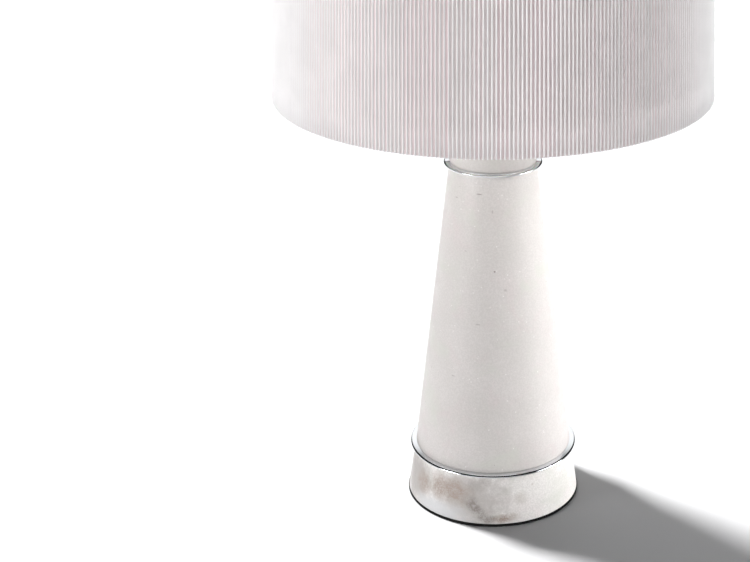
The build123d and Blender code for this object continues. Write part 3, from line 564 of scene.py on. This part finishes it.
def pleat_tree():
    """A Geometry Nodes tree that wraps a grid into a pleated drum."""
    tree = bpy.data.node_groups.new("pleated_drum", "GeometryNodeTree")
    for label, kind, _ in PLEAT_INPUTS:
        tree.interface.new_socket(label, in_out="INPUT", socket_type="NodeSocket" + kind)
    tree.interface.new_socket("Geometry", in_out="OUTPUT", socket_type="NodeSocketGeometry")
    given = put(tree, "NodeGroupInput").outputs
    now = {label: given[label] for label, _, _ in PLEAT_INPUTS}
    reckon(tree, now, *SIZE_ROWS)
    grid = put(tree, "GeometryNodeMeshGrid", {"Size X": 1.0, "Size Y": 1.0, "Vertices X": now["columns"],
               "Vertices Y": now["rows"]}, out="Mesh")
    flat = put(tree, "ShaderNodeSeparateXYZ", {0: put(tree, "GeometryNodeInputPosition", out=0)}).outputs
    now.update({"x": flat["X"], "y": flat["Y"]})
    reckon(tree, now, *PLACE_ROWS)
    now["ridge"] = pleat_section(tree, now["phase"])
    drum = put(tree, "ShaderNodeCombineXYZ", {i: now["noise " + axis] for i, axis in enumerate("xyz")}, out=0)
    for name, waves, detail in (("drift", DRIFT_WAVES, 2.0), ("swell", SWELL_WAVES, 1.0)):
        now[name] = put(tree, "ShaderNodeTexNoise", {"Vector": drum, "Scale": waves, "Detail": detail},
                        out="Fac")
    now["outside"] = put(tree, "ShaderNodeMapRange", {"Value": now["up"], "To Min": now["Rim Radius"],
                         "To Max": now["Top Radius"]}, out=0)
    reckon(tree, now, *WRAP_ROWS)
    where = put(tree, "ShaderNodeCombineXYZ", {i: now["to " + axis] for i, axis in enumerate("xyz")}, out=0)
    tone = put(tree, "FunctionNodeRandomValue", {"ID": now["number"], "Seed": PLEAT_SEED}, out=1,
               data_type="FLOAT")
    shape = grid
    for name, value in (("ridge", now["ridge"]), ("pleat_tone", tone)):
        shape = put(tree, "GeometryNodeStoreNamedAttribute", {"Geometry": shape, "Name": name,
                    "Value": value}, out=0, data_type="FLOAT", domain="POINT")
    shape = put(tree, "GeometryNodeSetPosition", {"Geometry": shape, "Position": where}, out=0)
    shape = put(tree, "GeometryNodeMergeByDistance", {"Geometry": shape, "Distance": SEAM_GAP}, out=0)
    shape = put(tree, "GeometryNodeRealizeInstances", {"Geometry": shape}, out=0)
    shape = put(tree, "GeometryNodeSetMaterial", {"Geometry": shape, "Material": now["Material"]}, out=0)
    put(tree, "NodeGroupOutput", {"Geometry": shape})
    return tree


pleating = pleat_tree()
print("pleat tree:", len(pleating.nodes), "nodes")

# %% [markdown]
# ## Satin
# Satin floats its threads over the surface, so it catches light softly and gives a faint sheen at a glance.
# Along the folds it is bright. Between them a darker, slightly rosy colour is painted in, as the shade that
# falls in the recesses. Dyed thread bends light at about 1.46, and satin of this kind is fairly matt.

# %% Pressed satin
# the two recess colours are painted shade: darker and rosier than the ridge, for the shade between the folds
RIDGE_LIGHT, RECESS_SHADE_ROSE, RECESS_SHADE_GREY = "#F1F0F0", "#EBDCDD", "#E3DCDB"


def pleated_satin():
    """Satin weave, pressed: bright along the folds, with a darker, slightly rosy painted shade between them.
    """
    made, tree, shader = material("pleated_satin", Roughness=0.62, Sheen_Weight=0.25, Sheen_Roughness=0.4,
                                  IOR=1.46)
    ridge, tone = (put(tree, "ShaderNodeAttribute", out="Fac", attribute_name=name)
                   for name in ("ridge", "pleat_tone"))
    # painted shade: low on a pleat the darker recess colour shows, high on it the ridge colour
    out_of_recess_shade = put(tree, "ShaderNodeMapRange", {"Value": ridge, "From Min": 0.2, "From Max": 0.7},
                   out="Result", interpolation_type="SMOOTHSTEP")
    dyed_and_shaded = coats(tree, coats(tree, RECESS_SHADE_ROSE, (tone, RECESS_SHADE_GREY)), (out_of_recess_shade, RIDGE_LIGHT))
    uneven = blotches(tree, 22, 0.3, 0.7, 0.96, 1.0)
    grey = put(tree, "ShaderNodeCombineColor", {0: uneven, 1: uneven, 2: uneven}, out=0)
    dyed_and_shaded = put(tree, "ShaderNodeMix", {0: 1.0, 6: dyed_and_shaded, 7: grey}, out=2, data_type="RGBA",
               blend_type="MULTIPLY")
    # threads are 0.15 mm on such satin; they are drawn at 0.5 mm to show at all
    surface(tree, shader, dyed_and_shaded, None, (0.5, 2.0), 0.15, 0.08)
    return made


satin = pleated_satin()
print("satin:", satin.name)

# %% [markdown]
# ## The cover
# The tree runs once on an empty carrier, and its result is turned into a plain mesh. A Solidify modifier
# gives the cloth its thickness inwards.


def grown(tree, name, values):
    """Runs a Geometry Nodes tree with named inputs and returns the plain mesh that it makes."""
    carrier = bpy.data.objects.new(name + "_maker", bpy.data.meshes.new(name))
    bpy.context.scene.collection.objects.link(carrier)
    modifier = carrier.modifiers.new("maker", "NODES")
    modifier.node_group = tree
    for item in tree.interface.items_tree:
        if item.in_out == "INPUT" and item.name in values:
            modifier[item.identifier] = values[item.name]
    ready = carrier.evaluated_get(bpy.context.evaluated_depsgraph_get())
    mesh = bpy.data.meshes.new_from_object(ready)
    bpy.data.objects.remove(carrier)
    mesh.name = name
    return mesh


cover_sizes = {label: value for label, _, value in PLEAT_INPUTS}
cover_mesh = grown(pleating, "pleated_drum", {**cover_sizes, "Material": satin})
cover = piece(cover_mesh, "pleated_satin_cover", "pleated_cover", satin, 0)
for polygon in cover_mesh.polygons:
    polygon.use_smooth = True
thick = cover.modifiers.new("cloth", "SOLIDIFY")
thick.thickness, thick.offset = CLOTH, -1.0

# %% [markdown]
# ## Inside the shade
# The liner is a thin milky styrene sheet. It glows a little with any light behind it, and shows the faint
# level bands that its rolls left. The bottom ring and the carrier, which is the top ring with its three
# arms, are plated steel wire with welded joints, so they are less perfect than the discs.

# %% Liner, rings, carrier and finial
BAND_MM = (250, 250, 2.5)


def milky_styrene():
    """Calendered sheet: milky, with faint level bands."""
    made, tree, shader = material("milky_styrene", IOR=1.59, Subsurface_Weight=0.25, Subsurface_Scale=2 * MM)
    band = put(tree, "ShaderNodeMapRange", {"Value": drawn_grain(tree, BAND_MM, 2.0), "From Min": 0.4,
               "From Max": 0.7, "To Max": 0.5}, out="Result", interpolation_type="SMOOTHSTEP")
    sheet = coats(tree, "#F1EFEA", (blotches(tree, 90, 0.3, 0.7), "#E8E4DD"), (band, "#E3DED5"))
    surface(tree, shader, sheet, blotches(tree, 15, 0.3, 0.7, 0.42, 0.58), (1.2, 2.0), 0.05, 0.1)
    return made


wire_plate = metal("plated_wire", "#CFD0D2", 0.14, (0.6, 0.6, 0.6), 0.12)
for node, finish, name, limit in (
        ("shade_liner", milky_styrene(), "styrene_liner", MILLED),
        ("shade_bottom_ring", wire_plate, "plated_rim_ring", WIRE),
        ("shade_carrier", wire_plate, "plated_carrier", WIRE),
        ("finial", chrome, "turned_finial", TURNED),
        ("harp_stud", metal("plated_stud", "#C9CACC", 0.18, (0.5, 0.5, 0.5)), "threaded_stud", TURNED)):
    made = dress(node, finish, name, limit)
    print(made.name, "has", len(made.data.polygons), "faces")

# %% [markdown]
# ## Moulded and pressed finishes
# The key of the switch is black phenolic, the body of the socket and the terminal block are a white
# moulding, and the foot pad and the grommet are rubber. All are moulded: a fine grain, a slow change of
# gloss and a little dust in the hollows. The sleeve inside the socket is grey card, with its fibres drawn
# out up the sheet.


# %% Moulded, card and rubber
def moulded(name, colour, shadow, rough, grain_mm=0.7, depth=0.05, **values):
    """A moulded surface, with a second tone for its unevenness and its dust."""
    made, tree, shader = material(name, **{"IOR": 1.5, **values})
    tint = blotches(tree, 14, 0.35, 0.7, Detail=4.0)
    dust = blotches(tree, 3, 0.55, 0.75, 0, 0.35, Roughness=0.6)
    surface(tree, shader, coats(tree, colour, (tint, shadow), (dust, shadow)),
            blotches(tree, 9, 0.3, 0.7, rough, rough + 0.14), (grain_mm, 3.0), 0.12, depth)
    return made


CARD_FIBRE_MM = (10 / 9, 10 / 9, 4)  # real fibres are finer, and are drawn this coarse to show


def card_stock():
    """Grey card: short fibres drawn out along one way, and a soft worn edge."""
    made, tree, shader = material("pressed_card", Roughness=0.88, IOR=1.45)
    fibre = drawn_grain(tree, CARD_FIBRE_MM, 4.0)
    shown = put(tree, "ShaderNodeMapRange", {"Value": fibre, "From Min": 0.35, "From Max": 0.7}, out="Result",
                interpolation_type="SMOOTHSTEP")
    board = coats(tree, "#8F897D", (shown, "#6F6A60"), (blotches(tree, 6, 0.5, 0.8, 0, 0.5), "#5A564E"))
    surface(tree, shader, board, None, fibre, 0.3, 0.08)
    return made


black_knob = moulded("black_phenolic", "#1B1A19", "#2A2927", 0.28)
white_moulding = moulded("white_moulding", "#E4E0D6", "#D3CEC2", 0.3)
rubber = moulded("black_rubber", "#0E0E0E", "#161615", 0.8, 0.5, 0.12, Specular_IOR_Level=0.25)
print("moulded:", black_knob.name, white_moulding.name, rubber.name)

# %% [markdown]
# ## Harp and socket
# The harp is bent from drawn and plated wire, so its grain runs up its legs. It stands in a pressed
# saddle, held by two sliding ferrules. The socket's shell and cap are spun from thin sheet and plated,
# with a faint upright grain. Screws, nuts and contacts are turned steel or brass, whose tool marks run
# round them. What shares a finish is dressed together.

# %% Dress the harp and the socket
socket_plate = metal("plated_socket", "#DADBDE", 0.09, (0.3, 0.3, 6), 0.06)
wire_chrome = metal("plated_harp", "#DDDEE0", 0.08, (0.5, 0.5, 5), 0.06)
saddle_plate = metal("plated_saddle", "#C6C7C9", 0.2, (0.5, 4, 4), 0.12)
turned_steel = metal("turned_steel", "#A9A9A8", 0.28, (0.5, 0.5, 0.12), 0.16)
brass = metal("turned_brass", "#C9A35C", 0.2, (0.4, 0.4, 0.15), 0.16)


def dress_each(nodes, finish, start, limit):
    """Pieces that share a finish; each is named by that start and its node."""
    for node in nodes:
        dress(node, finish, start + node, limit)
    print(finish.name, "on", ", ".join(nodes))


dress_each(("harp", "left_ferrule", "right_ferrule"), wire_chrome, "plated_", PRESSED)
dress("harp_saddle", saddle_plate, "pressed_saddle")
dress_each(("socket_cap", "socket_shell"), socket_plate, "spun_", TURNED)
dress("top_cap", chrome, "turned_top_cap", TURNED)
dress("shell_liner", card_stock(), "card_sleeve")
dress("socket_body", white_moulding, "moulded_socket_body")
dress("switch_knob", black_knob, "moulded_switch_key")
dress_each(("upper_nut", "screw_shell", "centre_contact", "terminal_screws", "base_inserts"), brass,
           "brass_", TURNED)
dress_each(("socket_set_screw", "lower_nut", "lower_washer", "cover_screws", "terminal_block_screw"),
           turned_steel, "steel_", TURNED)

# %% [markdown]
# ## Tube and wires
# The tube is threaded all along, and its thread is far too fine to model for what little of it shows, so
# a rolling bump draws it. The two wires have drawn plastic insulation, brown for the line and blue for the
# neutral, even and slightly glossy.

# %% Threaded tube and the two wires
THREAD_PITCH_MM = 0.94


def threaded(name, colour, pitch_mm):
    """Steel with its thread drawn as a rolling bump along the height."""
    made, tree, shader = material(name, Base_Color=colour, Metallic=1.0)
    place = put(tree, "ShaderNodeTexCoord", out="Object")
    height = put(tree, "ShaderNodeSeparateXYZ", {0: place}, out="Z")
    turns = put(tree, "ShaderNodeMath", {0: height, 1: 2 * math.pi * per(pitch_mm)}, out=0,
                operation="MULTIPLY")
    wave = put(tree, "ShaderNodeMath", {0: turns}, out=0, operation="SINE")
    surface(tree, shader, None, blotches(tree, 8, 0.3, 0.7, 0.26, 0.44, Detail=4.0), wave, 0.6, 0.25)
    return made


def wire_skin(name, colour, shade):
    """Drawn plastic insulation: even, with faint marks of the die."""
    made, tree, shader = material(name, IOR=1.53)
    surface(tree, shader, coats(tree, colour, (blotches(tree, 6, 0.35, 0.7), shade)),
            blotches(tree, 5, 0.3, 0.7, 0.34, 0.48, Detail=2.0), (0.9, 2.0), 0.06, 0.05)
    return made


dress("threaded_tube", threaded("threaded_steel", "#A2A2A0", THREAD_PITCH_MM), "threaded_tube_steel")
dress("line_wire", wire_skin("brown_wire", "#5B3A26", "#4B2F1F"), "insulated_line_wire", ROUND)
dress("neutral_wire", wire_skin("blue_wire", "#2C5E9C", "#234E85"), "insulated_neutral_wire", ROUND)
print("tube thread:", THREAD_PITCH_MM, "mm pitch")

# %% [markdown]
# ## Bulb
# The globe is opal glass: it scatters the light just below its surface and keeps a sharp gloss on top. The
# lamp is off in the photograph, so the bulb doesn't shine. Its cap is pressed from thin bright metal, and
# a bead of black glass insulates the solder tip.


# %% Opal globe and its metal cap
def opal():
    """Opal glass, milky inside and glossy outside."""
    made, tree, shader = material("opal_glass", IOR=1.52, Subsurface_Weight=0.35, Subsurface_Scale=4 * MM,
                                  Coat_Weight=0.4, Coat_Roughness=0.04)
    surface(tree, shader, coats(tree, "#F4F2EC", (blotches(tree, 40, 0.3, 0.7), "#ECE9E1")),
            blotches(tree, 16, 0.3, 0.7, 0.1, 0.2), (25, 2.0), 0.02, 0.4)
    return made


bulb_metal = metal("pressed_bulb_metal", "#BFBFBC", 0.24, (0.5, 0.5, 0.5), 0.12)
solder = metal("solder_tip", "#A9A8A2", 0.36, (0.4, 0.4, 0.4), 0.2)
bead_glass = moulded("black_glass_bead", "#17161A", "#24222A", 0.18)
dress("bulb_globe", opal(), "opal_globe", ROUND)
dress("bulb_cap", bulb_metal, "pressed_bulb_cap", PRESSED)
dress("bulb_contact", solder, "solder_contact", TURNED)
dress("bulb_insulator", bead_glass, "bulb_bead", PRESSED)
print("bulb: globe, cap, contact and bead")

# %% [markdown]
# ## Underside
# A rubber foot pad keeps the stone off the table. Inside it, a painted steel plate closes the cavity with
# three screws, and the cord would enter at the back through a rubber grommet. The paint is worn in places,
# where the plate has been slid about.


# %% Pad, plate, grommet, washer, terminal block
def painted_steel():
    """Black powder coat over steel, slightly orange-peeled and worn in spots."""
    made, tree, shader = material("black_painted_steel", IOR=1.5, Coat_Weight=0.15)
    worn = blotches(tree, 2.2, 0.68, 0.76, 0, 0.6, Detail=5.0, Roughness=0.7)
    paint = coats(tree, "#1D1D1E", (blotches(tree, 20, 0.3, 0.7), "#29292A"), (worn, "#4A4948"))
    surface(tree, shader, paint, blotches(tree, 7, 0.3, 0.7, 0.4, 0.58), (1.6, 3.0), 0.2, 0.1)
    return made


dress("foot_pad", rubber, "rubber_foot_pad")
dress("cord_grommet", rubber, "rubber_cord_grommet")
dress("cover_plate", painted_steel(), "painted_cover_plate")
dress("fibre_washer", moulded("red_fibre", "#7A2E22", "#66261C", 0.6, 0.5, 0.06), "red_fibre_washer")
dress("terminal_block", white_moulding, "moulded_terminal_block")
print("nodes still bare:", sorted(name for name, thing in cad.items() if not thing.hide_render))

# %% [markdown]
# ## Floor
# The lamp stands alone on white, and only its shadow says that there is a floor. So the floor is a very
# large sheet of matt paper, lit until it is as white as the background. Its own grey sets how dark the
# shadow is.

# %% Paper floor
FLOOR_HALF = 30.0  # metres
corners = [(x * FLOOR_HALF, y * FLOOR_HALF, 0) for x, y in ((-1, -1), (1, -1), (1, 1), (-1, 1))]
floor_mesh = bpy.data.meshes.new("floor")
floor_mesh.from_pydata(corners, [], [(0, 1, 2, 3)])
floor = bpy.data.objects.new("floor", floor_mesh)
bpy.context.scene.collection.objects.link(floor)
paper = material("white_paper", Base_Color="#949495", Roughness=0.9, Specular_IOR_Level=0.2)[0]
floor_mesh.materials.append(paper)
print("floor:", 2 * FLOOR_HALF, "m square")

# %% [markdown]
# ## The studio
# The world is a dark room with a few soft boxes: two at the right and one at the front left, which shape
# the stone and the pleats, and two much dimmer ones behind. They are about twice as wide as they are
# high, as a photographer's strip boxes are. The dark ground between them is what draws the dark line on
# the polished discs. The camera itself sees the world as plain white.

# %% World
# azimuth from the front round by the right, elevation and half width (degrees), strength
SOFT_BOXES = ((75, 14, 11, 14.0), (90, 14, 11, 9.0), (301, 14, 11, 22.0), (180, 24, 13, 1.3),
              (180, 60, 16, 2.2))
FLATTEN = 2.0  # directions are stretched upwards by this, which makes the boxes that much lower than wide
BOX_FEATHER = 5  # degrees
BASE_LIGHT = 0.03


def studio():
    """Soft boxes on a dark ground, by direction; the camera itself sees plain white."""
    world = bpy.data.worlds.new("studio")
    world.use_nodes = True
    tree = world.node_tree
    tree.nodes.clear()
    way = put(tree, "ShaderNodeTexCoord", out="Generated")
    way = put(tree, "ShaderNodeVectorMath", {0: way, 1: (1, 1, FLATTEN)}, out="Vector", operation="MULTIPLY")
    way = put(tree, "ShaderNodeVectorMath", {0: way}, out="Vector", operation="NORMALIZE")
    total = BASE_LIGHT
    for azimuth, elevation, half_width, strength in SOFT_BOXES:
        turn, rise = math.radians(azimuth), math.radians(elevation)
        aim = Vector((math.cos(rise) * math.sin(turn), -math.cos(rise) * math.cos(turn),
                      math.sin(rise) * FLATTEN)).normalized()
        near = put(tree, "ShaderNodeVectorMath", {0: way, 1: aim}, out="Value", operation="DOT_PRODUCT")
        edge, core = (math.cos(math.radians(half_width + side * BOX_FEATHER)) for side in (1, -1))
        box = put(tree, "ShaderNodeMapRange", {"Value": near, "From Min": edge, "From Max": core,
                  "To Max": strength}, out="Result", interpolation_type="SMOOTHSTEP")
        total = put(tree, "ShaderNodeMath", {0: box, 1: total}, out=0, operation="ADD")
    # for numbers, a Mix node has its factor at input 0 and its values at 2 and 3
    seen = put(tree, "ShaderNodeLightPath", out="Is Camera Ray")
    strength = put(tree, "ShaderNodeMix", {0: seen, 2: total, 3: 1.0}, out=0, data_type="FLOAT")
    light = put(tree, "ShaderNodeBackground", {"Color": "#FFFFFF", "Strength": strength}, out=0)
    put(tree, "ShaderNodeOutputWorld", {"Surface": light})
    return world


bpy.context.scene.world = studio()
print("soft boxes:", len(SOFT_BOXES))

# %% [markdown]
# ## Lights that reach only some pieces
# Three lights are linked to what they are for. A sun reaches only the floor: it whitens it and draws the
# lamp's shadow to the right and the front, and leaves the lamp's own modelling to the soft boxes. A wide,
# low sun from the right stands in for a long strip light, and a small card stands low at the right. These
# two reach only the cone and the base, which the soft boxes alone would leave too dark at that side.


# %% Suns and card
def aimed(name, kind, energy, way, receivers):
    """A light that shines along a direction and reaches only the receivers."""
    data = bpy.data.lights.new(name, kind)
    data.energy = energy
    made = bpy.data.objects.new(name, data)
    bpy.context.scene.collection.objects.link(made)
    made.rotation_euler = way.to_track_quat("-Z", "Y").to_euler()
    lit = bpy.data.collections.new(name + "_receivers")
    for thing in receivers:
        lit.objects.link(thing)
    made.light_linking.receiver_collection = lit
    return made


def sun(name, energy, spread, travel, elevation, receivers):
    """A sun; travel is the way its light goes over the floor, spread its width in degrees."""
    rise = math.radians(elevation)
    way = Vector((*travel, 0)).normalized() * math.cos(rise) + Vector((0, 0, -math.sin(rise)))
    aimed(name, "SUN", energy, way, receivers).data.angle = math.radians(spread)


def card(name, energy, size, place, target, receivers):
    """A lit white card that stands low beside the lamp, out of the camera's sight."""
    made = aimed(name, "AREA", energy, Vector(target) - Vector(place), receivers)
    made.data.shape, made.data.size, made.data.size_y = "RECTANGLE", size[0], size[1]
    made.location = place
    made.visible_camera = False


stones = [blocks["column_cone"], blocks["base_block"]]
sun("floor_sun", energy=20.5, spread=14, travel=(0.80, -0.60), elevation=28, receivers=[floor])
sun("low_strip", energy=1.95, spread=25, travel=(-0.996, -0.087), elevation=24, receivers=stones)
card("foot_card", energy=0.15, size=(0.24, 0.10), place=(0.30, -0.12, 0.04),
     target=(0.06, -0.04, 0.08), receivers=stones)
print("the low strip and the card light", [thing.name for thing in stones])

# %% [markdown]
# ## Camera
# The camera was fitted to the circles of the base, the discs and the rim of the shade. It looks down at
# the lamp from the front. Its lens is shifted sideways instead of turned, which keeps the lamp's axis
# upright. The Standard view shows every tone as it was set.

# %% Camera
SENSOR, LENS = 36.0, 82.906  # mm
SHIFT_PIXELS, FRAME_PIXELS = -118, 750
CAMERA_PLACE = (0, -1.5126, 0.8526)
LOOK_DOWN = 22.714  # degrees
camera_data = bpy.data.cameras.new("camera")
camera_data.sensor_width, camera_data.lens = SENSOR, LENS
camera_data.shift_x = SHIFT_PIXELS / FRAME_PIXELS
camera_data.clip_start, camera_data.clip_end = 0.05, 200
camera = bpy.data.objects.new("camera", camera_data)
camera.location = CAMERA_PLACE
camera.rotation_euler = (math.radians(90 - LOOK_DOWN), 0, 0)
bpy.context.scene.collection.objects.link(camera)
bpy.context.scene.camera = camera
bpy.context.scene.view_settings.view_transform = "Standard"
bpy.context.scene.view_settings.look = "None"
print("camera at", CAMERA_PLACE, "looking down", LOOK_DOWN, "degrees")

# %% [markdown]
# ## Sizes and finish
# The dressed lamp is meant to fill the same box as the CAD model. Here the scene is brought up to date.

# %% Sizes and finish
bpy.context.view_layer.update()
